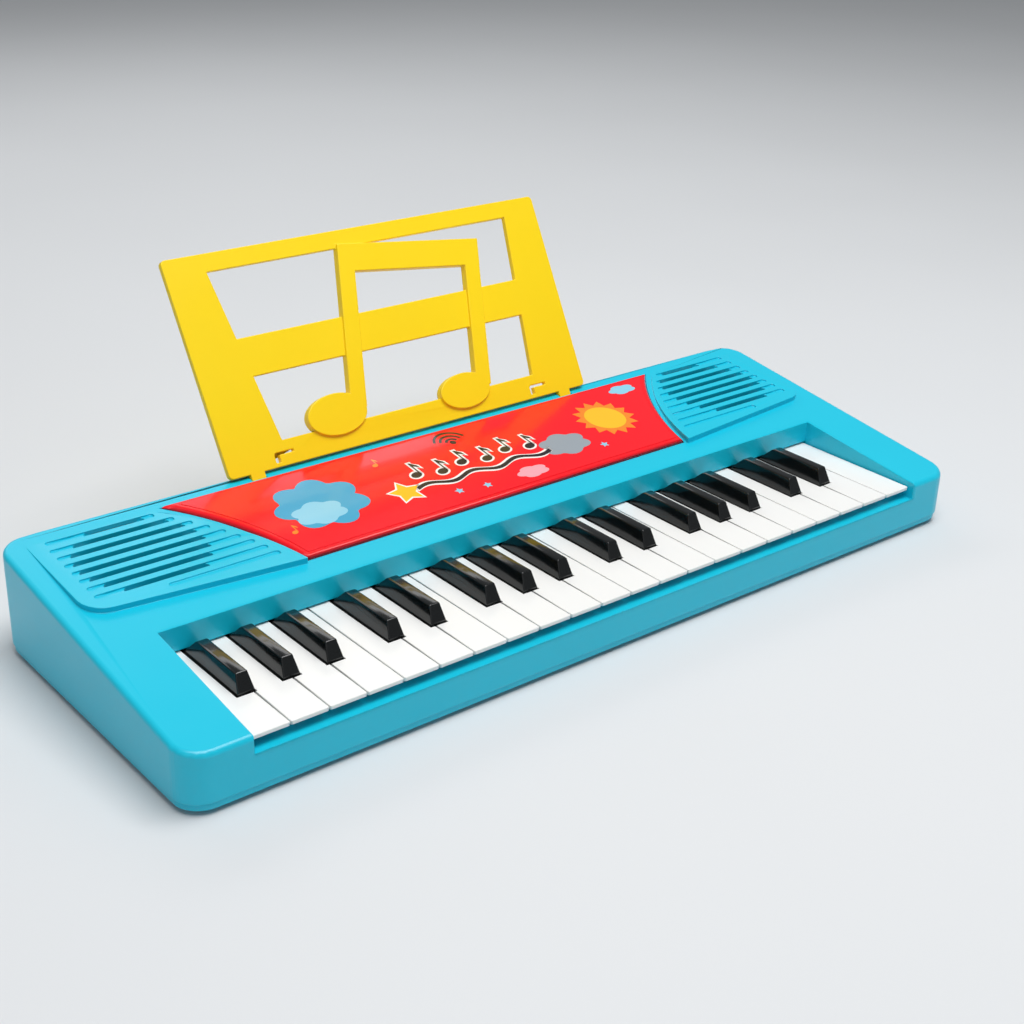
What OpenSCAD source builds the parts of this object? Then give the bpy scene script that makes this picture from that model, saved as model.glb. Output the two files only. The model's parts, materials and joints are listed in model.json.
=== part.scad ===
// Toy electronic keyboard with 37 keys, two speakers, a touch panel and a lift-out music stand.
// +X runs to the player's right, +Y to the back and +Z up. The origin is on the table,
// midway between the front wall and the top of the leaning music stand.

/* [Case] */
// Overall width of the case
body_w = 462; // [456:1:480]
// Depth of the case, front wall to back wall
body_d = 168; // [166:1:176]
// Wall thickness of both case shells
wall = 2.2; // [1.8:0.1:2.4]
// Corner radius of the case in plan
corner_r = 13; // [8:1:16]
// Height of the deck above the table at the front wall
deck_z = 28.6; // [28:0.1:30]
// Slope of the deck towards the player, in degrees
deck_slope = 7.9; // [7.5:0.1:8.5]
// Height of the ledge in front of the white keys
shelf_z = 19.8; // [19.4:0.1:20]

/* [Keys] */
// Distance from one white key to the next
key_pitch = 18.2; // [17.6:0.1:18.2]
// Number of white keys, starting on an F
white_count = 22; // [22:1:22]
// Height of the white key tops above the table
key_top = 26; // [25.6:0.1:26.2]
// Gap between neighbouring white keys
key_gap = 0.5; // [0.4:0.1:0.8]
// Height of a black key above the white keys
black_h = 8.4; // [7:0.1:9]
// Width of a black key at its foot
black_w = 8; // [7:0.1:8.4]
// Width of a black key across its top
black_top_w = 4.8; // [4:0.1:6]

/* [Music stand] */
// Width of the music stand across its top
stand_w = 229; // [220:1:236]
// Height of the music stand along its slope
stand_h = 110.6; // [106:0.1:114]
// Thickness of the music stand
stand_t = 3.2; // [2.8:0.1:3.4]
// Lean of the music stand back from upright, in degrees
stand_lean = 30; // [28:1:32]

/* [Speaker grilles] */
// Number of grooves over each speaker
groove_count = 9; // [9:1:9]
// Width of a groove
groove_w = 3.4; // [2.8:0.1:3.6]
// Radius of the round field of sound slots
slot_field_r = 30.5; // [28:0.5:31]

/* [Hidden] */
$fn = 48;
eps = 0.01;
gap = 0.3;

// Named bodies of the assembly

// Colours
turquoise = "#2ec4dc";
red = "#ee1522";
yellow = "#ffd900";
key_white = "#f2f2ef";
key_black = "#15181a";
board_green = "#1f6b3a";
steel = "#b9bcc0";
rubber_grey = "#77797c";
near_black = "#202224";

// Heights of the case, from the table up
pan_z = 2.5;
floor_z = pan_z + wall;
case_z = 5.5;
rim_z = 10;
foot_r = 7;
foot_x = 205;
foot_vs = [18, 150];
foot_sink = 0.5;

// The stand reaches behind the case, and the whole depth is centred on the origin
stand_v = 163.3;
stand_lift = 1.5;
overall_d = stand_v + stand_h * sin(stand_lean) + stand_t / 2 * cos(stand_lean);
front_y = -overall_d / 2;

// Keys and their well
well_w = white_count * key_pitch + 0.8;
well_back = 76.4;
key_front = 4;
key_plate_t = 2;
shelf_d = 14;
black_front = 32.4;
notch_gap = 0.8;
pivot_v = 92;
pivot_z = 19;
rod_r = 1.5;
rod_fit = 0.05;
hub_w = 5.6;
hub_r = 4;
rib_t = 1.4;
rib_z = 18;
rib_front = 16;
rib_back = 83;
key_back = 97;
plunger_v = 48;
plunger_z = 15.2;

// Where the black keys stand: the joint between white keys that each one covers, and its offset
black_joints = [1, 2, 3, 5, 6, 8, 9, 10, 12, 13, 15, 16, 17, 19, 20];
// Offsets in an octave that starts on F: F sharp, G sharp, A sharp, C sharp and D sharp
black_offsets = [-3.2, 0, 3.2, -2, 2.4];
function joint_x(i) = (i - white_count / 2) * key_pitch;
function black_x(k) = joint_x(black_joints[k]) + black_offsets[k % 5];
// The black key over joint i of the white keys, or -1 where there is none
function black_at(i) = let (hit = search(i, black_joints)) len(hit) > 0 ? hit[0] : -1;

// Deck frame: x across, s up the slope from the front wall, n square to the deck
function s_of(v) = v / cos(deck_slope);
panel_s0 = 92.4;
panel_s1 = 160.9;
panel_up = 1.6;
panel_sink = 1;
panel_arc_r = 136.4;
panel_arc_x = 252.1;
panel_arc_s = 66.6;
platform_front_s = 89.2;
platform_back_s = 159.5;
platform_out_x = 220.3;
platform_step = 3.2;
platform_arc_r = 135.8;
platform_arc_s = 61.9;
platform_corner_r = 12;

// Speakers under the grilles; the rim of each cone lies on a ledge of its basket
rim_n = -3.2;
speaker_x = 179.1;
speaker_s = 130.6;
groove_pitch = 7.06;
groove_s0 = 157.3;
groove_out_x = 213;
groove_clear = 6.8;
groove_deep = 0.9;

// Battery bay for four AA cells in two columns
bay_x = 58;
bay_v0 = 112;
bay_v1 = 142.5;
bay_roof = 20.4;
bay_wall = 1.8;
cover_x = 60;
cover_v0 = 108.8;
cover_v1 = 154;
cover_t = 2.2;
cover_pin_r = 0.9;
cover_screw_v = 149;

// Screws between the shells: x on the right side, and v
screw_places = [[216, 20], [216, 84], [216, 156], [75, 154.5], [100, 8.5]];
screw_seat = 5.8;
boss_z = 8.1;
screw_r = 1.3;
screw_fit = 0.05;

// Sockets in the back wall
mic_x = 110;
mic_bore_r = 1.8;
power_x = 132;
power_bore_r = 1.05;
socket_z = 22;
socket_hole_r = 4.1;

// Music stand, in its own plane: x across and z up the slope
stand_x = -2.5;
stand_flare = 1.8;
stand_corner_r = 2.5;
stand_tab_x = 97.5;
stand_tab_w = 7.8;
stand_tab_h = 8;
stand_pocket_t = 2;
window_rows = [[14.1, 47.3], [66.9, 101.4]];
stem_lean = 0.243;
stem_w = 9.6;
stem_x = [-26.7, 52.8];
stem_z = 46;
note_heads = [[-46, 19.5], [33, 15]];
note_size = [[17.3, 10.6], [16, 9.4]];
beam_drop = 0.122;
beam_w = 14.2;
beam_z = 103.4;
hook_leg = 2.6;
hook_bar = 1.2;
hook_w = 11;
hook_z = [3.7, 8.6];
hook_x = [-86.1, 75.2];
relief = 1.6;

// Key mechanism: white key joints that carry a fin of the keybed, and the parts on its floor
fin_joints = [0, 4, 7, 11, 14, 18, 21, 22];
contact_board_z = 8;
contact_strip_z = 9.6;
dome_z = 10.6;
felt_z = 12;
felt_top = 14.6;

module placed() translate([0, front_y, 0]) children();

module both_sides() {
    children();
    mirror([1, 0, 0]) children();
}

// A box given by its low and high corners
module span(a, b) translate(a) cube(b - a);

module on_deck() translate([0, 0, deck_z]) rotate([deck_slope, 0, 0]) children();

module in_stand() {
    translate([stand_x, stand_v, deck_z + stand_v * tan(deck_slope)])
        rotate([-stand_lean, 0, 0]) children();
}

// Rounded rectangle of the case, set in by a distance
module case_plan(inset) {
    w = body_w / 2 - inset;
    r = max(corner_r - inset, 1);
    translate([-w + r, inset]) square([2 * (w - r), body_d - 2 * inset]);
    translate([-w, inset + r]) square([2 * w, body_d - 2 * (inset + r)]);
    for (x = [-w + r, w - r], y = [inset + r, body_d - inset - r]) translate([x, y]) circle(r);
}

// All that lies under the sloping deck, lowered by a distance
module under_deck(drop) {
    top = function(v) deck_z - drop + v * tan(deck_slope);
    rotate([90, 0, 90])
        linear_extrude(body_w + 20, center = true)
            polygon([[-5, 0], [body_d + 5, 0], [body_d + 5, top(body_d + 5)], [-5, top(-5)]]);
}

module case_block(inset, z0, drop) {
    intersection() {
        translate([0, 0, z0]) linear_extrude(80) case_plan(inset);
        under_deck(drop);
    }
}

// Outline of the control panel in the deck frame, grown by a distance
module panel_outline(grow) {
    difference() {
        translate([-170, panel_s0 - grow]) square([340, panel_s1 - panel_s0 + 2 * grow]);
        both_sides() translate([panel_arc_x, panel_arc_s]) circle(panel_arc_r - grow, $fn = 180);
    }
}

// Capsule that runs across a grille, from x0 to x1
module groove_line(x0, x1) {
    end_r = groove_w / 2;
    translate([x0 + end_r, -end_r]) square([x1 - x0 - groove_w, groove_w]);
    for (x = [x0 + end_r, x1 - end_r]) translate([x, 0]) circle(end_r, $fn = 24);
}

function groove_s(k) = groove_s0 - k * groove_pitch;
// Inner end of groove k: it keeps its distance from the arc of the control panel
function groove_in_x(k) =
    panel_arc_x - sqrt(pow(panel_arc_r - groove_clear, 2) - pow(groove_s(k) - panel_arc_s, 2));
function groove_end_x(k) = k == groove_count - 1 ? 182 : k == 0 ? 212 : groove_out_x;

// Raised platform of the right-hand grille, level with the deck at its back
module grille_platform() {
    r = platform_corner_r;
    front_corner = [platform_out_x - r, platform_front_s + 8.7 + r];
    corner_arc = [for (a = [-85:17:0]) front_corner + r * [cos(a), sin(a)]];
    intersection() {
        linear_extrude(8, center = true) intersection() {
            polygon(concat([[110, platform_front_s]], corner_arc,
                [[platform_out_x, platform_back_s], [110, platform_back_s]]));
            translate([panel_arc_x, platform_arc_s]) circle(platform_arc_r, $fn = 180);
        }
        rotate([90, 0, 90]) linear_extrude(body_w)
            polygon([[80, -1.5], [170, -1.5], [platform_back_s, 0], [platform_front_s, platform_step],
                [80, platform_step + 0.3]]);
    }
}

module grille_cuts() {
    for (k = [0:groove_count - 1]) {
        reach = groove_s(k) - speaker_s;
        translate([0, groove_s(k), 0]) {
            rise = platform_step * (platform_back_s - groove_s(k)) / (platform_back_s - platform_front_s);
            translate([0, 0, rise - groove_deep]) linear_extrude(4)
                groove_line(groove_in_x(k), groove_end_x(k));
            if (abs(reach) < slot_field_r - 3.5) {
                half = sqrt(slot_field_r * slot_field_r - reach * reach);
                translate([0, 0, -wall - 0.6]) linear_extrude(12)
                    groove_line(speaker_x - half, speaker_x + half);
            }
        }
    }
}

module screw_positions() both_sides() for (p = screw_places) translate([p.x, p.y, 0]) children();

module upper_case() color(turquoise) placed() {
    side = well_w / 2;
    difference() {
        union() {
            difference() {
                case_block(0, case_z, 0);
                case_block(wall, 0, wall);
                span([-side, -1, shelf_z], [side, well_back, 80]);
            }
            // Ledge in front of the keys, with a flange below its inner edge
            span([-side - wall, wall / 2, shelf_z - wall], [side + wall, shelf_d, shelf_z]);
            span([-side - wall, shelf_d - wall, shelf_z - 6], [side + wall, shelf_d, shelf_z - wall]);
            // Walls round the key well
            intersection() {
                union() {
                    both_sides() span([side, wall / 2, 14], [side + wall, well_back + wall, 80]);
                    span([-side - wall, well_back, key_top + 1.2], [side + wall, well_back + wall, 80]);
                }
                under_deck(wall / 2);
            }
            both_sides() on_deck() {
                grille_platform();
                // Collar that centres the speaker
                translate([speaker_x, speaker_s, -7]) difference() {
                    cylinder(r = 32, h = 5.5);
                    translate([0, 0, -1]) cylinder(r = 30.4, h = 7.5);
                }
            }
            // Pockets that the tabs of the music stand rest in
            intersection() {
                in_stand() both_sides()
                    span([stand_tab_x - stand_tab_w / 2 - stand_pocket_t, -stand_t / 2 - stand_pocket_t,
                            -stand_tab_h - stand_pocket_t],
                        [stand_tab_x + stand_tab_w / 2 + stand_pocket_t, stand_t / 2 + stand_pocket_t, 4]);
                under_deck(wall / 2);
            }
            // Bosses that take the case screws
            intersection() {
                screw_positions() translate([0, 0, boss_z]) cylinder(r = 3.5, h = 80);
                case_block(wall / 2, 0, wall / 2);
                difference() {
                    span([-240, -1, 0], [240, 180, 80]);
                    span([-side, -1, shelf_z - wall / 2], [side, well_back, 80]);
                }
            }
        }
        screw_positions() translate([0, 0, boss_z - 1]) cylinder(r = screw_r + screw_fit, h = 10);
        both_sides() on_deck() grille_cuts();
        // Seat of the control panel, and the window for the board below it
        on_deck() {
            translate([0, 0, -panel_sink]) linear_extrude(10) panel_outline(0.5);
            span([-92, 106, -6], [92, 144, 2]);
        }
        // Slots for the tabs of the music stand
        in_stand() both_sides()
            span([stand_tab_x - stand_tab_w / 2 - gap, -stand_t / 2 - gap, -stand_tab_h],
                [stand_tab_x + stand_tab_w / 2 + gap, stand_t / 2 + gap, 8]);
        // Holes for the sockets
        for (x = [mic_x, power_x])
            translate([x, body_d + 1, socket_z]) rotate([90, 0, 0])
                cylinder(r = socket_hole_r, h = wall + 2);
    }
}

module lower_case() color(turquoise) placed() {
    difference() {
        union() {
            translate([0, 0, pan_z]) linear_extrude(case_z - gap - pan_z) case_plan(0.8);
            translate([0, 0, case_z - gap - eps]) linear_extrude(rim_z - case_z + gap) case_plan(wall + gap);
        }
        difference() {
            translate([0, 0, floor_z]) linear_extrude(20) case_plan(2 * wall + gap);
            // Battery bay and the ledge above its cover
            span([-cover_x - 3, cover_v0 - 3.5, 0], [cover_x + 3, cover_v1 + 3, floor_z + 2.4]);
            // Bosses under the case screws
            screw_positions() cylinder(r = 5, h = boss_z - 0.1);
        }
        span([-cover_x - gap, cover_v0 - gap, -1], [cover_x + gap, cover_v1 + gap, floor_z + 0.2]);
        span([-bay_x, bay_v0, 0], [bay_x, bay_v1, 40]);
        // Sockets of the cover's pins
        translate([-cover_x - 2.2, cover_v0 + cover_t / 2, pan_z + cover_t / 2]) rotate([0, 90, 0])
            cylinder(r = cover_pin_r + 0.05, h = 2 * cover_x + 4.4);
        // Hole for the tip of the cover's screw
        translate([0, cover_screw_v, 0]) cylinder(r = 1.5, h = 20);
        screw_positions() {
            cylinder(r = screw_r + 0.5, h = 20);
            cylinder(r = 3.3, h = screw_seat);
        }
        both_sides() for (v = foot_vs) translate([foot_x, v, 0])
            cylinder(r = foot_r + 0.1, h = pan_z + foot_sink);
        // Vents under each speaker
        both_sides() for (i = [-3:3]) translate([speaker_x, 124 + i * 6, 0])
            span([-22, -1.2, 0], [22, 1.2, 20]);
    }
    // Walls and roof of the battery bay
    difference() {
        span([-bay_x - bay_wall, bay_v0 - bay_wall, floor_z + 2.4],
            [bay_x + bay_wall, bay_v1 + bay_wall, bay_roof + bay_wall]);
        span([-bay_x, bay_v0, 0], [bay_x, bay_v1, bay_roof]);
    }
    // Web between the two columns of cells
    span([-0.8, bay_v0, floor_z + 0.2], [0.8, bay_v1, bay_roof]);
}

module control_panel() color(red) placed() on_deck() {
    difference() {
        translate([0, 0, -panel_sink]) linear_extrude(panel_sink + panel_up) panel_outline(0);
        translate([0, 0, -panel_sink - 1]) span([-90, 108, 0], [90, 142, 2]);
    }
}

module panel_label() color("#ff2a1c") placed() on_deck() {
    translate([0, 0, panel_up]) linear_extrude(0.2) panel_outline(-3.5);
}

module touch_board() color(board_green) placed() on_deck() {
    span([-88, 109, -1.6], [88, 141, 0]);
    for (i = [-3:3]) translate([i * 22, 125, -3]) cylinder(r = 3, h = 1.4);
}

module main_board() color(board_green) placed() {
    z = bay_roof + bay_wall + 4;
    difference() {
        span([-55, 108, z], [55, 146, z + 1.6]);
        for (x = [-50, 50], v = [112, 142]) translate([x, v, z - 1]) cylinder(r = 1.6, h = 4);
    }
    span([-12, 120, z + 1.6], [12, 132, z + 4]);
    for (x = [-32, 30]) translate([x, 124, z + 1.6]) cylinder(r = 3.5, h = 7);
    span([34, 112, z + 1.6], [48, 118, z + 6]);
    // Posts down to the roof of the battery bay
    for (x = [-50, 50], v = [114.5, 140]) translate([x, v, bay_roof + bay_wall]) cylinder(r = 2, h = 4);
}

// Music stand: a plate with a trapezium of windows, a middle bar and two joined quavers
function window_half(z) = 77.5 + z * 0.145;

module window_row(z0, z1) {
    polygon([[-window_half(z0), z0], [window_half(z0), z0], [window_half(z1), z1], [-window_half(z1), z1]]);
}

// Stem i, from z0 to z1 along its lean
module stem(i, z0, z1) {
    x = function(z) stem_x[i] + (z - stem_z) * stem_lean;
    half = stem_w / 2;
    polygon([[x(z0) - half, z0], [x(z0) + half, z0], [x(z1) + half, z1], [x(z1) - half, z1]]);
}

module quavers() {
    left = stem_x[0] + (beam_z - stem_z) * stem_lean - stem_w / 2;
    right = stem_x[1] + (beam_z - 10 - stem_z) * stem_lean + stem_w / 2;
    drop = (right - left) * beam_drop;
    stem(0, note_heads[0].y, beam_z - 4);
    stem(1, note_heads[1].y, beam_z - 14);
    polygon([[left, beam_z], [right, beam_z - drop], [right - beam_w * stem_lean, beam_z - drop - beam_w],
        [left - beam_w * stem_lean, beam_z - beam_w]]);
    for (i = [0, 1]) translate(note_heads[i]) polygon(oval_points(note_size[i]));
}

// Points of an oval with the given half-axes
function oval_points(size) = [for (a = [0:7.5:352.5]) [size.x * cos(a), size.y * sin(a)]];

// Points of a quarter turn about a centre, from angle a0
function corner_points(centre, r, a0) = [for (a = [a0:15:a0 + 90]) centre + r * [cos(a), sin(a)]];

// Outline of the stand: it widens a little towards its top, and its corners are round
module stand_outline() {
    r = stand_corner_r;
    foot = stand_w / 2 - stand_flare;
    head = stand_w / 2;
    low = stand_lift;
    polygon(concat(
        corner_points([head - r, stand_h - r], r, 0),
        corner_points([r - head, stand_h - r], r, 90),
        corner_points([r - foot, low + r], r, 180),
        corner_points([foot - r, low + r], r, 270)));
}

// Hooked slot, with its leg at the left and its outer corner round
module hook_slot() {
    r = hook_leg / 2;
    high = hook_z[1];
    polygon(concat(
        [[0, hook_z[0]], [hook_leg, hook_z[0]], [hook_leg, high - hook_bar], [hook_w, high - hook_bar],
            [hook_w, high]],
        corner_points([r, high - r], r, 90)));
}

module music_stand() color(yellow) placed() in_stand() {
    rotate([90, 0, 0]) {
        translate([0, 0, -stand_t / 2]) linear_extrude(stand_t) difference() {
            stand_outline();
            difference() {
                for (r = window_rows) window_row(r[0], r[1]);
                quavers();
            }
            for (x = hook_x) translate([x, 0]) hook_slot();
        }
        // The quavers stand proud of the front face
        translate([0, 0, stand_t / 2 - eps]) linear_extrude(relief + eps) quavers();
    }
    both_sides() span([stand_tab_x - stand_tab_w / 2, -stand_t / 2, -stand_tab_h],
        [stand_tab_x + stand_tab_w / 2, stand_t / 2, stand_lift + eps]);
}

// White key i, from 1: its plate is cut back beside the black keys that overlap it
module white_key(i) color(key_white) placed() {
    x0 = joint_x(i - 1) + key_gap / 2;
    x1 = joint_x(i) - key_gap / 2;
    left = black_at(i - 1);
    right = black_at(i);
    tail0 = left >= 0 ? black_x(left) + black_w / 2 + notch_gap : x0;
    tail1 = right >= 0 ? black_x(right) - black_w / 2 - notch_gap : x1;
    notch_v = black_front - notch_gap;
    mid = (tail0 + tail1) / 2;
    hub = min(hub_w, tail1 - tail0);
    difference() {
        union() {
            span([x0, key_front, key_top - key_plate_t], [x1, notch_v, key_top]);
            span([tail0, notch_v - eps, key_top - key_plate_t], [tail1, key_back, key_top]);
            // Side ribs under the plate, and the plunger between them
            span([tail0, rib_front, rib_z], [tail0 + rib_t, rib_back, key_top - 1]);
            span([tail1 - rib_t, rib_front, rib_z], [tail1, rib_back, key_top - 1]);
            span([tail0, rib_front, rib_z], [tail1, rib_front + rib_t, key_top - 1]);
            span([mid - 1.5, plunger_v - 1.5, plunger_z], [mid + 1.5, plunger_v + 1.5, key_top - 1]);
            // Pivot hub under the back end
            span([mid - hub / 2, pivot_v - hub_r, pivot_z], [mid + hub / 2, pivot_v + hub_r, key_top - 1]);
            span([mid - hub / 2, rib_back - 2, rib_z + 2], [mid + hub / 2, pivot_v, key_top - 1]);
            translate([mid - hub / 2, pivot_v, pivot_z]) rotate([0, 90, 0]) cylinder(r = hub_r, h = hub);
        }
        translate([mid - 20, pivot_v, pivot_z]) rotate([0, 90, 0]) cylinder(r = rod_r + rod_fit, h = 40);
    }
}

// Black key k, from 1: a tapered cap that dips at the back to pass under the case
module black_key(k) color(key_black) placed() {
    x = black_x(k - 1);
    half = black_w / 2;
    top = black_top_w / 2;
    foot_z = key_top + 0.8;
    difference() {
        union() {
            hull() {
                span([x - half, black_front, foot_z - eps], [x + half, well_back - 0.6, foot_z]);
                cap_z = key_top + black_h;
                span([x - top, black_front + 3.4, cap_z - 0.6], [x + top, well_back - 10, cap_z]);
                span([x - top - 0.4, black_front + 3, cap_z - 1],
                    [x + top + 0.4, well_back - 8, cap_z - 0.6]);
            }
            span([x - half, black_front, rib_z + 1], [x + half, well_back - 0.6, foot_z]);
            span([x - half, well_back - 0.6 - eps, rib_z + 1], [x + half, rib_back, key_top]);
            span([x - 1.5, plunger_v + 8.5, plunger_z], [x + 1.5, plunger_v + 11.5, rib_z + 2]);
            span([x - hub_w / 2, rib_back - 2, rib_z + 2], [x + hub_w / 2, pivot_v, key_top]);
            span([x - hub_w / 2, pivot_v - hub_r, pivot_z], [x + hub_w / 2, pivot_v + hub_r, key_top]);
            translate([x - hub_w / 2, pivot_v, pivot_z]) rotate([0, 90, 0]) cylinder(r = hub_r, h = hub_w);
        }
        // Hollow underside
        span([x - half + 1.5, black_front + 2, 0], [x + half - 1.5, plunger_v + 7, key_top + 3]);
        span([x - half + 1.5, plunger_v + 13, 0], [x + half - 1.5, rib_back - 4, key_top - 1.6]);
        translate([x - 20, pivot_v, pivot_z]) rotate([0, 90, 0]) cylinder(r = rod_r + rod_fit, h = 40);
    }
}

// Chassis of the key mechanism: rails, a web and the fins that hold the pivot rod
module keybed() color("#d9dcdd") placed() {
    x = well_w / 2;
    difference() {
        union() {
            span([-x, 17, floor_z], [x, 101, floor_z + 1.8]);
            span([-x, 18, floor_z], [x, 27, felt_z]);
            for (v = [38, 62]) span([-x, v, floor_z], [x, v + 2, contact_board_z]);
            span([-x, 86, floor_z], [x, 88, 12.4]);
            for (i = fin_joints) {
                fin_x = i == 0 ? -x + 1 : i == white_count ? x - 1 : joint_x(i);
                difference() {
                    span([fin_x - 1, 86, floor_z], [fin_x + 1, 98, 22]);
                    translate([fin_x - 5, pivot_v, pivot_z]) rotate([0, 90, 0]) cylinder(r = rod_r, h = 10);
                }
            }
        }
        for (i = [0:white_count - 1]) span([joint_x(i) + 3, 68, 0], [joint_x(i + 1) - 3, 84, 20]);
    }
}

module key_pivot_rod() color(steel) placed() {
    translate([-well_w / 2, pivot_v, pivot_z]) rotate([0, 90, 0]) cylinder(r = rod_r, h = well_w);
}

// Rubber strip with one dome under each key, drawn at the height of a pressed dome
module contact_strip() color(rubber_grey) placed() {
    x = well_w / 2 - 1;
    span([-x, 39, contact_strip_z], [x, 63, dome_z]);
    for (i = [1:white_count]) translate([dome_x(i), plunger_v, dome_z]) rubber_dome();
    for (k = [0:len(black_joints) - 1]) translate([black_x(k), plunger_v + 10, dome_z]) rubber_dome();
}

// The dome under a white key is centred between the key's two ribs
function dome_x(i) = let (
    l = black_at(i - 1),
    r = black_at(i),
    a = l >= 0 ? black_x(l) + black_w / 2 + notch_gap : joint_x(i - 1),
    b = r >= 0 ? black_x(r) - black_w / 2 - notch_gap : joint_x(i)
) (a + b) / 2;

module rubber_dome() {
    cylinder(r = 3.2, h = 0.8);
    cylinder(r = 2.2, h = 2.2);
}

module contact_board() color(board_green) placed() {
    span([-well_w / 2 + 1, 37, contact_board_z], [well_w / 2 - 1, 65, contact_strip_z]);
}

module key_stop_felt() color("#a33a3a") placed() {
    span([-well_w / 2 + 1, 18.5, felt_z], [well_w / 2 - 1, 26.5, felt_top]);
}

// Speaker in the deck frame, facing up: steel basket and magnet
module speaker() color(steel) placed() on_deck() translate([speaker_x, speaker_s, 0]) {
    rotate_extrude() polygon([[30, -2.4], [30, -4], [26, -4.6], [17, -13], [17, -15], [14, -15],
        [14, -21.5], [3, -21.5], [3, -14], [15, -14], [15, -12.4], [24, rim_n], [25.6, rim_n],
        [25.6, -2.4]]);
    translate([0, 0, -21.5]) cylinder(r = 3, h = 8);
}

module speaker_cone() color(near_black) placed() on_deck() translate([speaker_x, speaker_s, 0]) {
    rotate_extrude() polygon([[25.4, -2.6], [24.4, -2.7], [23, -2.5], [21.6, -3.2], [8, -11.4], [5, -9.4],
        [0, -8.6], [0, -9.2], [5, -10], [8, -12.2], [21.8, -4], [23, -3.3], [24.2, rim_n], [25.4, rim_n]]);
}

module speaker_left() mirror([1, 0, 0]) speaker();
module speaker_right() speaker();
module speaker_left_cone() mirror([1, 0, 0]) speaker_cone();
module speaker_right_cone() speaker_cone();

// Cover of the battery bay, on two pins along its front edge
module battery_cover() color(turquoise) placed() {
    axis = [cover_v0 + cover_t / 2, pan_z + cover_t / 2];
    difference() {
        union() {
            span([-cover_x, axis.x, pan_z], [cover_x, cover_v1, pan_z + cover_t]);
            translate([-cover_x, axis.x, axis.y]) rotate([0, 90, 0])
                cylinder(r = cover_t / 2, h = 2 * cover_x);
            translate([-cover_x - 1.8, axis.x, axis.y]) rotate([0, 90, 0])
                cylinder(r = cover_pin_r, h = 2 * cover_x + 3.6);
        }
        translate([0, cover_screw_v, 0]) {
            cylinder(r = 1.4, h = 10);
            cylinder(r = 3, h = pan_z + 1.2);
        }
        // Grip lines
        for (i = [0:4]) span([-12, cover_v1 - 20 + i * 2.4, 0], [12, cover_v1 - 18.8 + i * 2.4, pan_z + 0.5]);
    }
}

// A pan-head screw with its head down and a cross recess; the shank ends at the height given
module screw(head_r, seat, top, r) {
    difference() {
        union() {
            translate([0, 0, seat - 1.8]) cylinder(r = head_r, h = 1.8);
            translate([0, 0, seat - eps]) cylinder(r = r, h = top - seat);
        }
        for (a = [0, 90]) rotate([0, 0, a]) span([-1.7, -0.35, seat - 3], [1.7, 0.35, seat - 0.8]);
    }
}

module battery_cover_screw() color(steel) placed() {
    translate([0, cover_screw_v, 0]) difference() {
        union() {
            translate([0, 0, pan_z + 0.1]) cylinder(r = 2.7, h = 1.1);
            translate([0, 0, pan_z + 1]) cylinder(r = 1.2, h = cover_t - 0.4);
        }
        for (a = [0, 90]) rotate([0, 0, a]) span([-1.7, -0.35, 0], [1.7, 0.35, pan_z + 0.7]);
    }
}

// Springs at one end of each cell and plates at the other
module battery_contacts() color(steel) placed() {
    z = 12.6;
    for (v = [119.6, 134.9], side = [-1, 1]) {
        spring_end = v < 127 ? side : -side;
        outer = side * (bay_x - 0.25);
        inner = side * 1.05;
        for (x = [outer, inner]) translate([x, v, z]) rotate([0, 90, 0])
            linear_extrude(0.4, center = true) square(11, center = true);
        spring_x = spring_end > 0 ? outer : inner;
        towards = (spring_end > 0 ? -1 : 1) * side;
        for (i = [0:2]) translate([spring_x + towards * (0.5 + i * 0.9), v, z]) rotate([0, 90, 0])
            rotate_extrude() translate([3.4 - i * 0.5, 0]) circle(0.55, $fn = 16);
        nub_x = spring_end > 0 ? inner : outer;
        translate([nub_x, v, z]) rotate([0, -90 * towards, 0]) cylinder(r = 2.4, h = 1.2);
    }
}

module case_screws() color(steel) placed() screw_positions() screw(2.9, screw_seat, 16, screw_r);

module rubber_feet() color(near_black) placed() {
    both_sides() for (v = foot_vs) translate([foot_x, v, 0]) difference() {
        cylinder(r = foot_r, h = pan_z + foot_sink);
        translate([0, 0, -1]) cylinder(r = 2.5, h = 1.6);
    }
}

// A round socket in the back wall with its square body behind it
module socket(x, bore_r) placed() translate([x, body_d, socket_z]) rotate([90, 0, 0]) {
    difference() {
        union() {
            translate([0, 0, -0.6]) cylinder(r = 5, h = 0.6);
            translate([0, 0, -eps]) cylinder(r = 4, h = wall + 0.2);
            translate([-5, -6, wall + 0.1]) cube([10, 12, 12]);
        }
        translate([0, 0, -2]) cylinder(r = bore_r, h = 14);
    }
}

module mic_jack() color(near_black) socket(mic_x, mic_bore_r);
module power_jack() color(near_black) socket(power_x, power_bore_r);

white_key(1);  // white_key_01
white_key(2);  // white_key_02
white_key(3);  // white_key_03
white_key(4);  // white_key_04
white_key(5);  // white_key_05
white_key(6);  // white_key_06
white_key(7);  // white_key_07
white_key(8);  // white_key_08
white_key(9);  // white_key_09
white_key(10);  // white_key_10
white_key(11);  // white_key_11
white_key(12);  // white_key_12
white_key(13);  // white_key_13
white_key(14);  // white_key_14
white_key(15);  // white_key_15
white_key(16);  // white_key_16
white_key(17);  // white_key_17
white_key(18);  // white_key_18
white_key(19);  // white_key_19
white_key(20);  // white_key_20
white_key(21);  // white_key_21
white_key(22);  // white_key_22
black_key(1);  // black_key_01
black_key(2);  // black_key_02
black_key(3);  // black_key_03
black_key(4);  // black_key_04
black_key(5);  // black_key_05
black_key(6);  // black_key_06
black_key(7);  // black_key_07
black_key(8);  // black_key_08
black_key(9);  // black_key_09
black_key(10);  // black_key_10
black_key(11);  // black_key_11
black_key(12);  // black_key_12
black_key(13);  // black_key_13
black_key(14);  // black_key_14
black_key(15);  // black_key_15
upper_case();
lower_case();
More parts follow.
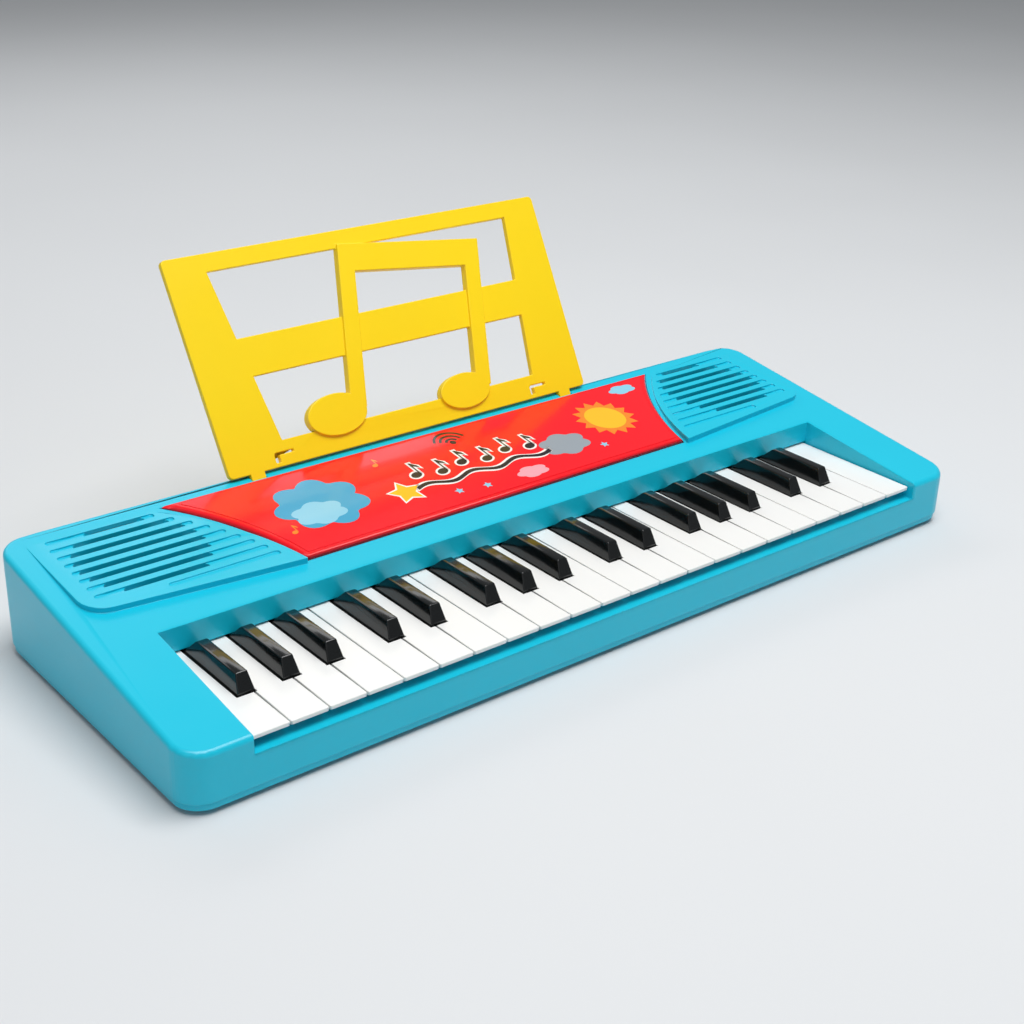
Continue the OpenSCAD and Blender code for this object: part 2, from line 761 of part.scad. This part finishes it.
control_panel();
panel_label();
touch_board();
main_board();
music_stand();
keybed();
key_pivot_rod();
contact_strip();
contact_board();
key_stop_felt();
speaker_left();
speaker_right();
speaker_left_cone();
speaker_right_cone();
battery_cover();
battery_cover_screw();
battery_contacts();
case_screws();
rubber_feet();
mic_jack();
power_jack();
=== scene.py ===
import json
import math

import bmesh
import bpy
from mathutils import Matrix, Vector

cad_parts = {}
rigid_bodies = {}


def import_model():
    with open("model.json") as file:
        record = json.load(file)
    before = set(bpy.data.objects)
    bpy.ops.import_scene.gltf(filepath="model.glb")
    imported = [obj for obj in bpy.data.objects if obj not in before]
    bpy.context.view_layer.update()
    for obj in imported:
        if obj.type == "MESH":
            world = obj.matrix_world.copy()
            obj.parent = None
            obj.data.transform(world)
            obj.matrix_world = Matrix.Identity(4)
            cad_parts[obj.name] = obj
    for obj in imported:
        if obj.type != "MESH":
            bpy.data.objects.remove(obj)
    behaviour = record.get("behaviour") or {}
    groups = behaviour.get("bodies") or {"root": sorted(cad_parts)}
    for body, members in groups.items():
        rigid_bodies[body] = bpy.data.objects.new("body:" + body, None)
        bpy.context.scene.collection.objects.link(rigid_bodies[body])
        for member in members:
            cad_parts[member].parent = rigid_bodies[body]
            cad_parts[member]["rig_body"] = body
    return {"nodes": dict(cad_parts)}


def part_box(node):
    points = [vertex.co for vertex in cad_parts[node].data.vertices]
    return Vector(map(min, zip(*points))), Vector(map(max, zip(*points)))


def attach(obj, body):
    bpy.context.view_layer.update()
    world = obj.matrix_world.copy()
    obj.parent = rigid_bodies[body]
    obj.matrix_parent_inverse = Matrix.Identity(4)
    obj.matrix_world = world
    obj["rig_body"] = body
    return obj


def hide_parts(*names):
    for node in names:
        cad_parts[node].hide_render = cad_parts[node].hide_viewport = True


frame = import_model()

# A toy electronic keyboard. The frame holds every part at its place and size. This script rounds
# the edges of its parts, prints generic pictures on the panel's label, and gives every part a
# procedural material. Lengths are in metres, and MM turns millimetres into them.

MM = 0.001
NODES = frame["nodes"]
WHITE_KEYS = sorted(n for n in NODES if n.startswith("white_key_"))
BLACK_KEYS = sorted(n for n in NODES if n.startswith("black_key_"))

for leftover in ("Cube", "Camera", "Light"):
    if leftover in bpy.data.objects:
        bpy.data.objects.remove(bpy.data.objects[leftover])

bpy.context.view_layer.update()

# ---------------------------------------------------------------- measures from the frame

CASE_LOW, CASE_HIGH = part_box("upper_case")
FRONT_Y = CASE_LOW.y
BODY_W = CASE_HIGH.x - CASE_LOW.x
BODY_D = CASE_HIGH.y - CASE_LOW.y
CORNER_R = 13 * MM
DECK_SLOPE = math.radians(7.9)
DECK_FRONT_Z = CASE_HIGH.z - BODY_D * math.tan(DECK_SLOPE)
KEY_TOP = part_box("white_key_01")[1].z
KEY_FRONT_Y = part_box("white_key_01")[0].y
WELL_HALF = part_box("key_pivot_rod")[1].x
SHELF_Z = 19.8 * MM
LABEL_TOP = 1.8

# Directions of the sloping deck: up the slope, and square to it
UP_SLOPE = Vector((0, math.cos(DECK_SLOPE), math.sin(DECK_SLOPE)))
DECK_NORMAL = Vector((0, -math.sin(DECK_SLOPE), math.cos(DECK_SLOPE)))
DECK_ORIGIN = Vector((0, FRONT_Y, DECK_FRONT_Z))

# Edges flatter than FLAT are dissolved, those sharper than SHARP are rounded, and those sharper
# than CREASE are shaded as creases
FLAT = math.radians(1)
SHARP = math.radians(24)
CREASE = math.radians(30)
SAME_POINT = 0.001 * MM


def on_deck(x, s, n):
    """The point x across, s up the slope from the front wall and n above the deck, all in mm."""
    return DECK_ORIGIN + Vector((x * MM, 0, 0)) + UP_SLOPE * (s * MM) + DECK_NORMAL * (n * MM)


def above_deck(p):
    """How far a point lies above the deck's plane."""
    return (p - DECK_ORIGIN).dot(DECK_NORMAL)


# ---------------------------------------------------------------- materials


def linear(hex_colour):
    """An sRGB colour such as "#45D0E8" as linear RGBA."""
    out = []
    for i in (1, 3, 5):
        c = int(hex_colour[i:i + 2], 16) / 255
        out.append(c / 12.92 if c <= 0.04045 else ((c + 0.055) / 1.055) ** 2.4)
    return (*out, 1.0)


def shaded(colour, factor):
    """The colour made darker or lighter by a factor."""
    return (*(min(1.0, c * factor) for c in colour[:3]), 1.0)


class Surface:
    """A procedural material: mottled colour, uneven roughness and a fine bump."""

    def __init__(self, name, colour, rough, metallic=0.0, ior=1.49, coat=0.0, sheen=0.0):
        self.material = bpy.data.materials.new(name)
        self.material.use_nodes = True
        self.material.diffuse_color = linear(colour)
        self.tree = self.material.node_tree
        self.shader = self.tree.nodes["Principled BSDF"]
        self.colour = linear(colour)
        self.rough = rough
        sockets = self.shader.inputs
        sockets["Metallic"].default_value = metallic
        sockets["IOR"].default_value = ior
        sockets["Coat Weight"].default_value = coat
        sockets["Coat Roughness"].default_value = 0.06
        sockets["Sheen Weight"].default_value = sheen
        self.place = self.tree.nodes.new("ShaderNodeTexCoord").outputs["Object"]

    def noise(self, scale, detail=2.0, stretch=(1, 1, 1)):
        """A noise pattern with about `scale` cells to the metre, drawn out along an axis."""
        mapping = self.tree.nodes.new("ShaderNodeMapping")
        mapping.inputs["Scale"].default_value = stretch
        self.tree.links.new(self.place, mapping.inputs["Vector"])
        node = self.tree.nodes.new("ShaderNodeTexNoise")
        node.inputs["Scale"].default_value = scale
        node.inputs["Detail"].default_value = detail
        self.tree.links.new(mapping.outputs["Vector"], node.inputs["Vector"])
        return node.outputs["Fac"]

    def cells(self, scale):
        """Distance to the nearest of random points, about `scale` of them to the metre."""
        node = self.tree.nodes.new("ShaderNodeTexVoronoi")
        node.inputs["Scale"].default_value = scale
        self.tree.links.new(self.place, node.inputs["Vector"])
        return node.outputs["Distance"]

    def spread(self, value, low, high, out_low, out_high):
        """A value between low and high, mapped to lie between out_low and out_high."""
        node = self.tree.nodes.new("ShaderNodeMapRange")
        node.inputs["From Min"].default_value = low
        node.inputs["From Max"].default_value = high
        node.inputs["To Min"].default_value = out_low
        node.inputs["To Max"].default_value = out_high
        self.tree.links.new(value, node.inputs["Value"])
        return node.outputs["Result"]

    def blend(self, factor, a, b):
        """The colours a and b, mixed by a factor from 0 to 1."""
        node = self.tree.nodes.new("ShaderNodeMix")
        node.data_type = "RGBA"
        for socket, value in ((node.inputs[6], a), (node.inputs[7], b)):
            if hasattr(value, "is_linked"):
                self.tree.links.new(value, socket)
            else:
                socket.default_value = value
        self.tree.links.new(factor, node.inputs[0])
        return node.outputs[2]

    def mottle(self, amount=0.05, scale=14):
        """Colour that drifts slightly darker and lighter over the part."""
        factor = self.spread(self.noise(scale, 2), 0.15, 0.85, 0, 1)
        tone = self.blend(factor, shaded(self.colour, 1 - amount), shaded(self.colour, 1 + amount))
        self.tree.links.new(tone, self.shader.inputs["Base Color"])
        return tone

    def smudge(self, amount=0.05, scale=38, stretch=(1, 1, 1)):
        """Roughness that varies as handling and the mould leave it."""
        low, high = self.rough - amount, self.rough + amount
        value = self.spread(self.noise(scale, 2, stretch), 0.15, 0.85, max(0.02, low), high)
        self.tree.links.new(value, self.shader.inputs["Roughness"])

    def bump(self, height, depth):
        """Relief of the skin: a height pattern from 0 to 1, as deep as depth."""
        node = self.tree.nodes.new("ShaderNodeBump")
        node.inputs["Strength"].default_value = 1.0
        node.inputs["Distance"].default_value = depth
        self.tree.links.new(height, node.inputs["Height"])
        self.tree.links.new(node.outputs["Normal"], self.shader.inputs["Normal"])


def moulded(name, colour, rough, coat=0.0, mottle=0.02, peel=0.008 * MM):
    """Moulded plastic: faint flow marks in the colour, and a fine ripple on the skin."""
    s = Surface(name, colour, rough, coat=coat)
    s.mottle(mottle)
    s.smudge(0.03)
    s.bump(s.noise(420, 3), peel)
    return s.material


def metal(name, colour, rough):
    """Plated sheet or rod, with faint drawing marks along it."""
    s = Surface(name, colour, rough, metallic=1.0)
    s.mottle(0.08, 60)
    s.smudge(0.08, 300, (1, 12, 1))
    s.bump(s.noise(900, 2, (1, 10, 1)), 0.01 * MM)
    return s.material


def rubber(name, colour):
    """Dull rubber with a pebbled skin."""
    s = Surface(name, colour, 0.75, ior=1.52)
    s.mottle(0.15, 120)
    s.smudge(0.1, 200)
    s.bump(s.cells(2200), 0.04 * MM)
    return s.material


def felt(name, colour):
    """Pressed wool, uneven in colour and fuzzy."""
    s = Surface(name, colour, 0.95, sheen=0.6)
    s.mottle(0.3, 700)
    s.smudge(0.04, 300)
    s.bump(s.noise(3000, 4), 0.25 * MM)
    return s.material


def circuit_board(name, colour):
    """Green solder mask with paler tracks."""
    s = Surface(name, colour, 0.35)
    tracks = s.spread(s.cells(160), 0.28, 0.32, 1, 0)
    tone = s.blend(tracks, shaded(s.colour, 0.7), shaded(s.colour, 1.7))
    s.tree.links.new(tone, s.shader.inputs["Base Color"])
    s.smudge(0.08, 200)
    s.bump(tracks, 0.04 * MM)
    return s.material


def cone_paper(name, colour):
    """The coarse pulp of a speaker's cone."""
    s = Surface(name, colour, 0.85)
    s.mottle(0.35, 900)
    s.smudge(0.06, 400)
    s.bump(s.noise(1500, 4), 0.08 * MM)
    return s.material


TURQUOISE = moulded("turquoise_shell", "#12C2DE", 0.3)
RED = moulded("red_panel", "#F20A1C", 0.24)
LABEL = moulded("label_film_red", "#F80F20", 0.16, coat=0.15, peel=0.004 * MM)
YELLOW = moulded("yellow_stand", "#FFDA00", 0.4)
KEY_WHITE = moulded("key_ivory", "#EFEFED", 0.3, mottle=0.015)
KEY_BLACK = moulded("key_ebony", "#0C0F10", 0.14, coat=0.2, mottle=0.05)
CHASSIS = moulded("chassis_grey", "#B9BDBF", 0.55, peel=0.04 * MM)
BLACK_PLASTIC = moulded("socket_black", "#141617", 0.45, peel=0.04 * MM)
STEEL = metal("plated_steel", "#B8BABD", 0.32)
RUBBER = rubber("foot_rubber", "#1A1B1C")
GREY_RUBBER = rubber("dome_rubber", "#75777A")
FELT = felt("stop_felt", "#8E2F2F")
BOARD = circuit_board("solder_mask", "#1B6136")
CONE = cone_paper("cone_paper", "#18191B")

CAD_MATERIALS = {
    "panel_label": LABEL, "touch_board": BOARD, "main_board": BOARD, "contact_board": BOARD,
    "keybed": CHASSIS, "key_pivot_rod": STEEL, "contact_strip": GREY_RUBBER, "key_stop_felt": FELT,
    "speaker_left": STEEL, "speaker_right": STEEL, "speaker_left_cone": CONE,
    "speaker_right_cone": CONE, "battery_cover": TURQUOISE, "battery_cover_screw": STEEL,
    "battery_contacts": STEEL, "case_screws": STEEL, "rubber_feet": RUBBER,
    "mic_jack": BLACK_PLASTIC, "power_jack": BLACK_PLASTIC, "lower_case": TURQUOISE,
}
# How wide the edges of a part are rounded, in mm. A part that isn't named keeps its sharp edges
CAD_ROUNDING = {
    "lower_case": 0.35, "battery_cover": 0.25, "rubber_feet": 0.5, "mic_jack": 0.2,
    "power_jack": 0.2, "case_screws": 0.15, "speaker_left": 0.2, "speaker_right": 0.2,
    "panel_label": 0.05, "keybed": 0.2,
}

# ---------------------------------------------------------------- meshes

# Edges of the upper case are told apart by how near to a face they lie, whether they lie further
# in than the rim, and whether they lie in front of WELL_REACH, behind which the grilles begin
NEAR = 0.1 * MM
INSIDE = 2 * MM
WELL_REACH = 78 * MM

# How wide each kind of edge is rounded
RIM_WIDTH = 2.6 * MM
LIP_WIDTH = 1.2 * MM
WELL_CORNER_WIDTH = 1.0 * MM
WELL_WIDTH = 0.8 * MM
FOOT_WIDTH = 0.5 * MM
GRILLE_WIDTH = 0.3 * MM
IVORY_TOP_WIDTH = 0.45 * MM
IVORY_CORNER_WIDTH = 0.9 * MM
IVORY_FRONT_WIDTH = 0.3 * MM
EBONY_WIDTH = 0.55 * MM
STAND_WIDTH = 0.5 * MM
PANEL_WIDTH = 2.0 * MM

# Only the part of a black key above the white ones, and of the panel above the deck, is rounded
EXPOSED = 1.5 * MM


def outline_inset(p):
    """How far a point lies inside the case's rounded outline, seen from above."""
    x = abs(p.x)
    y = abs(p.y - (FRONT_Y + BODY_D / 2))
    dx = BODY_W / 2 - x
    dy = BODY_D / 2 - y
    if dx < CORNER_R and dy < CORNER_R:
        return CORNER_R - math.hypot(CORNER_R - dx, CORNER_R - dy)
    return min(dx, dy)


def rounded_copy(node, name, width_at, segments=3, clamp=True):
    """A copy of a part whose sharp edges are rounded as wide as width_at(edge middle, edge) says."""
    mesh = bpy.data.meshes.new(name)
    bm = bmesh.new()
    bm.from_mesh(NODES[node].data)
    bmesh.ops.remove_doubles(bm, verts=bm.verts, dist=SAME_POINT)
    bmesh.ops.dissolve_limit(bm, angle_limit=FLAT, verts=bm.verts, edges=bm.edges)
    bm.edges.index_update()
    widths = {}
    for edge in bm.edges:
        if len(edge.link_faces) == 2 and edge.calc_face_angle(0) > SHARP:
            middle = (edge.verts[0].co + edge.verts[1].co) / 2
            width = width_at(middle, edge)
            if width > 0:
                widths[edge.index] = width
    widest = max(widths.values())
    layer = bm.edges.layers.float.new("bevel_weight_edge")
    for edge in bm.edges:
        edge[layer] = widths.get(edge.index, 0) / widest
    bm.to_mesh(mesh)
    bm.free()
    mesh.materials.clear()
    for polygon in mesh.polygons:
        polygon.use_smooth = True
        polygon.material_index = 0
    mesh.set_sharp_from_angle(angle=CREASE)
    piece = bpy.data.objects.new(name, mesh)
    bpy.context.scene.collection.objects.link(piece)
    bevel = piece.modifiers.new("rounding", "BEVEL")
    bevel.limit_method = "WEIGHT"
    bevel.width = widest
    bevel.segments = segments
    bevel.harden_normals = True
    bevel.use_clamp_overlap = clamp
    return piece


def stand_for(piece, node, material):
    """Shows a piece in place of a node, on the node's own body."""
    piece.data.materials.append(material)
    body = NODES[node]["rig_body"]
    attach(piece, body)
    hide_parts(node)


def upper_case_width(p, edge):
    """Wide rounding on the case's rim, less on the lip, well and platforms, and little in grooves."""
    height = above_deck(p)
    inset = outline_inset(p)
    on_front = p.y < FRONT_Y + NEAR
    if inset < 2 * NEAR and abs(height) < 2 * NEAR:
        return RIM_WIDTH
    if on_front and abs(p.z - SHELF_Z) < NEAR:
        return LIP_WIDTH
    if on_front and abs(abs(p.x) - WELL_HALF) < NEAR and height < 0:
        return WELL_CORNER_WIDTH
    if inset < NEAR / 2 and p.z < CASE_LOW.z + NEAR:
        return FOOT_WIDTH
    if height > 2 * NEAR and inset > INSIDE:
        return GRILLE_WIDTH
    if abs(height) < NEAR and p.y < FRONT_Y + WELL_REACH:
        return WELL_WIDTH
    if abs(height) < 10 * NEAR and inset > INSIDE:
        return GRILLE_WIDTH
    return 0


def white_key_width(p, edge):
    """Rounding of a white key's top, its two front corners and the rest of its front."""
    upright = abs(edge.verts[0].co.z - edge.verts[1].co.z) > MM
    if p.z > KEY_TOP - NEAR / 2:
        return IVORY_TOP_WIDTH
    if p.y < KEY_FRONT_Y + NEAR:
        return IVORY_CORNER_WIDTH if upright else IVORY_FRONT_WIDTH
    return 0


def black_key_width(p, edge):
    """Rounding of a black key where it stands above the white ones."""
    return EBONY_WIDTH if p.z > KEY_TOP + EXPOSED else 0


def stand_width(p, edge):
    """Even rounding all round the music stand."""
    return STAND_WIDTH


def panel_width(p, edge):
    """Rounding of the panel's top edge."""
    return PANEL_WIDTH if above_deck(p) > EXPOSED else 0


def finish_cad_node(name):
    """Gives a part that is shown as its own node its material and its rounding."""
    node = NODES[name]
    node.data.materials.clear()
    node.data.materials.append(CAD_MATERIALS[name])
    width = CAD_ROUNDING.get(name)
    if width is None:
        return
    merge = node.modifiers.new("join", "WELD")
    merge.merge_threshold = SAME_POINT
    flat = node.modifiers.new("flat_faces", "DECIMATE")
    flat.decimate_type = "DISSOLVE"
    flat.angle_limit = FLAT
    bevel = node.modifiers.new("rounding", "BEVEL")
    bevel.limit_method = "ANGLE"
    bevel.angle_limit = SHARP
    bevel.width = width * MM
    bevel.segments = 2
    bevel.harden_normals = True


# ---------------------------------------------------------------- the label's generic pictures

# In mm: each layer of ink lies INK_STEP higher than the one below, and its film reaches from
# INK_ROOT under that height to INK_T over it
INK_STEP = 0.015
INK_ROOT = 0.1
INK_T = 0.02


def ring_points(cx, cy, rx, ry, count=40, wobble=0.0, lobes=0, turn=0.0):
    """A closed outline: an ellipse, or a cloud where lobes bulge out of it."""
    points = []
    for i in range(count):
        a = 2 * math.pi * i / count
        swell = 1 + wobble * (abs(math.sin(lobes * a / 2)) - 0.5) if lobes else 1
        x, y = rx * swell * math.cos(a), ry * swell * math.sin(a)
        points.append((cx + x * math.cos(turn) - y * math.sin(turn),
                       cy + x * math.sin(turn) + y * math.cos(turn)))
    return points


def star_points(cx, cy, r, arms=5, depth=0.5):
    """A star's outline, whose notches lie at depth times its radius."""
    points = []
    for i in range(2 * arms):
        a = math.pi * i / arms + math.pi / 2
        reach = r if i % 2 == 0 else r * depth
        points.append((cx + reach * math.cos(a), cy + reach * math.sin(a)))
    return points


def arc_band(cx, cy, r, width, a0, a1, count=20):
    """A curved band between two angles, in degrees."""
    turns = [math.radians(a0 + (a1 - a0) * i / count) for i in range(count + 1)]
    far, near = r + width / 2, r - width / 2
    outer = [(cx + far * math.cos(a), cy + far * math.sin(a)) for a in turns]
    inner = [(cx + near * math.cos(a), cy + near * math.sin(a)) for a in turns]
    return outer + inner[::-1]


def wave_band(x0, x1, y, width, rise, length, count=40):
    """A wavy line of an even width."""
    top, low = [], []
    for i in range(count + 1):
        x = x0 + (x1 - x0) * i / count
        mid = y + rise * math.sin(2 * math.pi * (x - x0) / length)
        top.append((x, mid + width / 2))
        low.append((x, mid - width / 2))
    return top + low[::-1]


def quaver_outlines(cx, cy, size, grow=0.0):
    """A quaver as a head, a stem and a flag, each grown by a margin."""
    head = ring_points(cx, cy, size * 0.34 + grow, size * 0.25 + grow, 24, turn=0.35)
    right = cx + size * 0.32
    left = right - size * 0.09
    top = cy + size * 1.15 + grow
    stem = [(left - grow, cy), (right + grow, cy), (right + grow, top), (left - grow, top)]
    flag = [(right - grow, top),
            (right + size * 0.26 + grow, cy + size * 0.82),
            (right + size * 0.3 + grow, cy + size * 0.5 - grow),
            (right + size * 0.12 - grow, cy + size * 0.72),
            (right - grow, cy + size * 0.8 - grow)]
    return [head, stem, flag]


def printed(name, outlines, colour, layer):
    """Ink of one colour: each outline is a film on the label, on top of the layers below it."""
    base = LABEL_TOP + INK_STEP * layer
    bm = bmesh.new()
    for outline in outlines:
        low = [bm.verts.new(on_deck(x, s, base - INK_ROOT)) for x, s in outline]
        high = [bm.verts.new(on_deck(x, s, base + INK_T)) for x, s in outline]
        bm.faces.new(high)
        bm.faces.new(low[::-1])
        count = len(outline)
        for i in range(count):
            j = (i + 1) % count
            bm.faces.new((low[i], low[j], high[j], high[i]))
    bmesh.ops.recalc_face_normals(bm, faces=bm.faces)
    bmesh.ops.triangulate(bm, faces=[f for f in bm.faces if len(f.verts) > 4])
    mesh = bpy.data.meshes.new(name)
    bm.to_mesh(mesh)
    bm.free()
    mesh.materials.append(moulded("ink_" + name, colour, 0.22, coat=0.4, peel=0.004 * MM))
    piece = bpy.data.objects.new(name, mesh)
    bpy.context.scene.collection.objects.link(piece)
    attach(piece, "case")


# ---------------------------------------------------------------- the object

stand_for(rounded_copy("upper_case", "upper_shell", upper_case_width, 4, False),
          "upper_case", TURQUOISE)
for key in WHITE_KEYS:
    stand_for(rounded_copy(key, key + "_cap", white_key_width), key, KEY_WHITE)
for key in BLACK_KEYS:
    stand_for(rounded_copy(key, key + "_cap", black_key_width), key, KEY_BLACK)
stand_for(rounded_copy("music_stand", "stand_plate", stand_width, 3, False),
          "music_stand", YELLOW)
stand_for(rounded_copy("control_panel", "panel_slab", panel_width, 4, False),
          "control_panel", RED)
for name in CAD_MATERIALS:
    finish_cad_node(name)

# Pictures on the label: clouds, a star, a sun and the rings of the touch spot
INK_DARK = "#1C1420"
INK_WHITE = "#F6F4F0"
INK_BLUE = "#3FA6CE"
INK_PALE_BLUE = "#8FD0E8"
INK_YELLOW = "#FFC21A"
INK_ORANGE = "#F58A1C"
INK_GREY = "#9AA3AC"
INK_PINK = "#F3A9B4"

printed("cloud_back", [ring_points(-88, 128, 22, 19, 60, 0.24, 7)], INK_BLUE, 1)
printed("cloud_front", [ring_points(-93, 121, 13, 9, 50, 0.22, 6)], INK_PALE_BLUE, 2)
printed("star_edge", [star_points(-46, 117, 10.5, 5, 0.55)], INK_WHITE, 1)
printed("star_left", [star_points(-46, 117, 9, 5, 0.52)], INK_YELLOW, 2)
printed("sun_rays", [star_points(95, 130, 18, 14, 0.76)], INK_ORANGE, 1)
printed("sun_disc", [ring_points(95, 130, 11.5, 11.5)], INK_YELLOW, 2)
printed("cloud_grey", [ring_points(56, 118, 14, 9.5, 50, 0.22, 6)], INK_GREY, 1)
printed("cloud_pink", [ring_points(23, 104, 9, 4.6, 40, 0.22, 5)], INK_PINK, 1)
printed("cloud_far", [ring_points(126, 151, 8.5, 4.2, 40, 0.22, 5)], INK_PALE_BLUE, 1)
printed("touch_rings", [arc_band(4, 146, r, 1.5, 20, 160) for r in (3.4, 6.6, 9.8)], INK_DARK, 2)
printed("touch_spot", [ring_points(4, 146, 1.7, 1.7, 20)], INK_DARK, 2)

# A row of quavers along a wavy line takes the middle of the label
ROW = [(-32 + 14 * i, 128 - 3 * (i % 2)) for i in range(6)]
NOTE_SIZE = 9.5
printed("row_edge", [o for x, s in ROW for o in quaver_outlines(x, s, NOTE_SIZE, 1.1)], INK_WHITE, 1)
printed("row_notes", [o for x, s in ROW for o in quaver_outlines(x, s, NOTE_SIZE)], INK_DARK, 2)
printed("row_wave_edge", [wave_band(-40, 46, 117, 4.6, 2, 28)], INK_WHITE, 1)
printed("row_wave", [wave_band(-39, 45, 117, 2.6, 2, 28)], INK_DARK, 2)
printed("small_notes", quaver_outlines(-112, 112, 5) + quaver_outlines(-45, 145, 5), INK_ORANGE, 1)
printed("small_stars", [star_points(x, s, 2.6) for x, s in ((-22, 106), (-6, 104), (75, 108))],
        INK_PALE_BLUE, 1)

# ---------------------------------------------------------------- studio

# The camera stands at the front left, in mm, and looks to the right and down, in degrees
CAMERA_PLACE = Vector((-459.9, -566.7, 371.1)) * MM
CAMERA_AZIMUTH = 40.03
CAMERA_ELEVATION = 25.32
CAMERA_ROLL = 1.92
LENS = 56.5
SENSOR = 36
FLOOR_HALF = 20

# Each soft light's place and size in metres, and its power in watts
LIGHTS = {
    "overhead": ((0.1, -0.35, 1.6), (1.5, 0.9), 27),
    "front_left": ((-1.3, -0.9, 0.9), (1.0, 0.8), 1.2),
    "back": ((0.2, 1.3, 0.9), (1.6, 0.4), 4),
}
WORLD_COLOUR = (0.9, 0.93, 0.96, 1)
WORLD_STRENGTH = 0.26


def floor_material():
    """A matt pale floor."""
    s = Surface("studio_floor", "#D8DADC", 0.75)
    s.mottle(0.015, 3)
    s.smudge(0.05, 6)
    s.bump(s.noise(60, 3), 0.05 * MM)
    return s.material


def add_floor():
    """The floor, far wider than the camera sees."""
    bm = bmesh.new()
    bmesh.ops.create_grid(bm, x_segments=1, y_segments=1, size=FLOOR_HALF)
    mesh = bpy.data.meshes.new("floor")
    bm.to_mesh(mesh)
    bm.free()
    mesh.materials.append(floor_material())
    floor = bpy.data.objects.new("floor", mesh)
    bpy.context.scene.collection.objects.link(floor)


def add_light(name, place, size, power):
    """A soft rectangular light that faces the object."""
    light = bpy.data.lights.new(name, "AREA")
    light.shape = "RECTANGLE"
    light.size, light.size_y = size
    light.energy = power
    lamp = bpy.data.objects.new(name, light)
    lamp.location = place
    lamp.rotation_euler = (-Vector(place)).to_track_quat("-Z", "Y").to_euler()
    bpy.context.scene.collection.objects.link(lamp)


def add_camera():
    """The camera, turned by its azimuth and elevation, with a slight roll."""
    azimuth = math.radians(CAMERA_AZIMUTH)
    elevation = math.radians(CAMERA_ELEVATION)
    roll = math.radians(CAMERA_ROLL)
    forward = Vector((math.sin(azimuth) * math.cos(elevation),
                      math.cos(azimuth) * math.cos(elevation), -math.sin(elevation)))
    level = Vector((math.cos(azimuth), -math.sin(azimuth), 0))
    right = level * math.cos(roll) + level.cross(forward) * math.sin(roll)
    up = right.cross(forward)
    data = bpy.data.cameras.new("camera")
    data.sensor_width = SENSOR
    data.lens = LENS
    camera = bpy.data.objects.new("camera", data)
    turn = Matrix((right, up, -forward)).transposed().to_4x4()
    camera.matrix_world = Matrix.Translation(CAMERA_PLACE) @ turn
    bpy.context.scene.collection.objects.link(camera)
    bpy.context.scene.camera = camera


def add_world():
    """An even pale sky that fills the shadows."""
    world = bpy.data.worlds.new("studio")
    world.use_nodes = True
    background = world.node_tree.nodes["Background"].inputs
    background["Color"].default_value = WORLD_COLOUR
    background["Strength"].default_value = WORLD_STRENGTH
    bpy.context.scene.world = world


add_floor()
add_camera()
for name, (place, size, power) in LIGHTS.items():
    add_light(name, place, size, power)
add_world()
bpy.context.scene.view_settings.view_transform = "Standard"
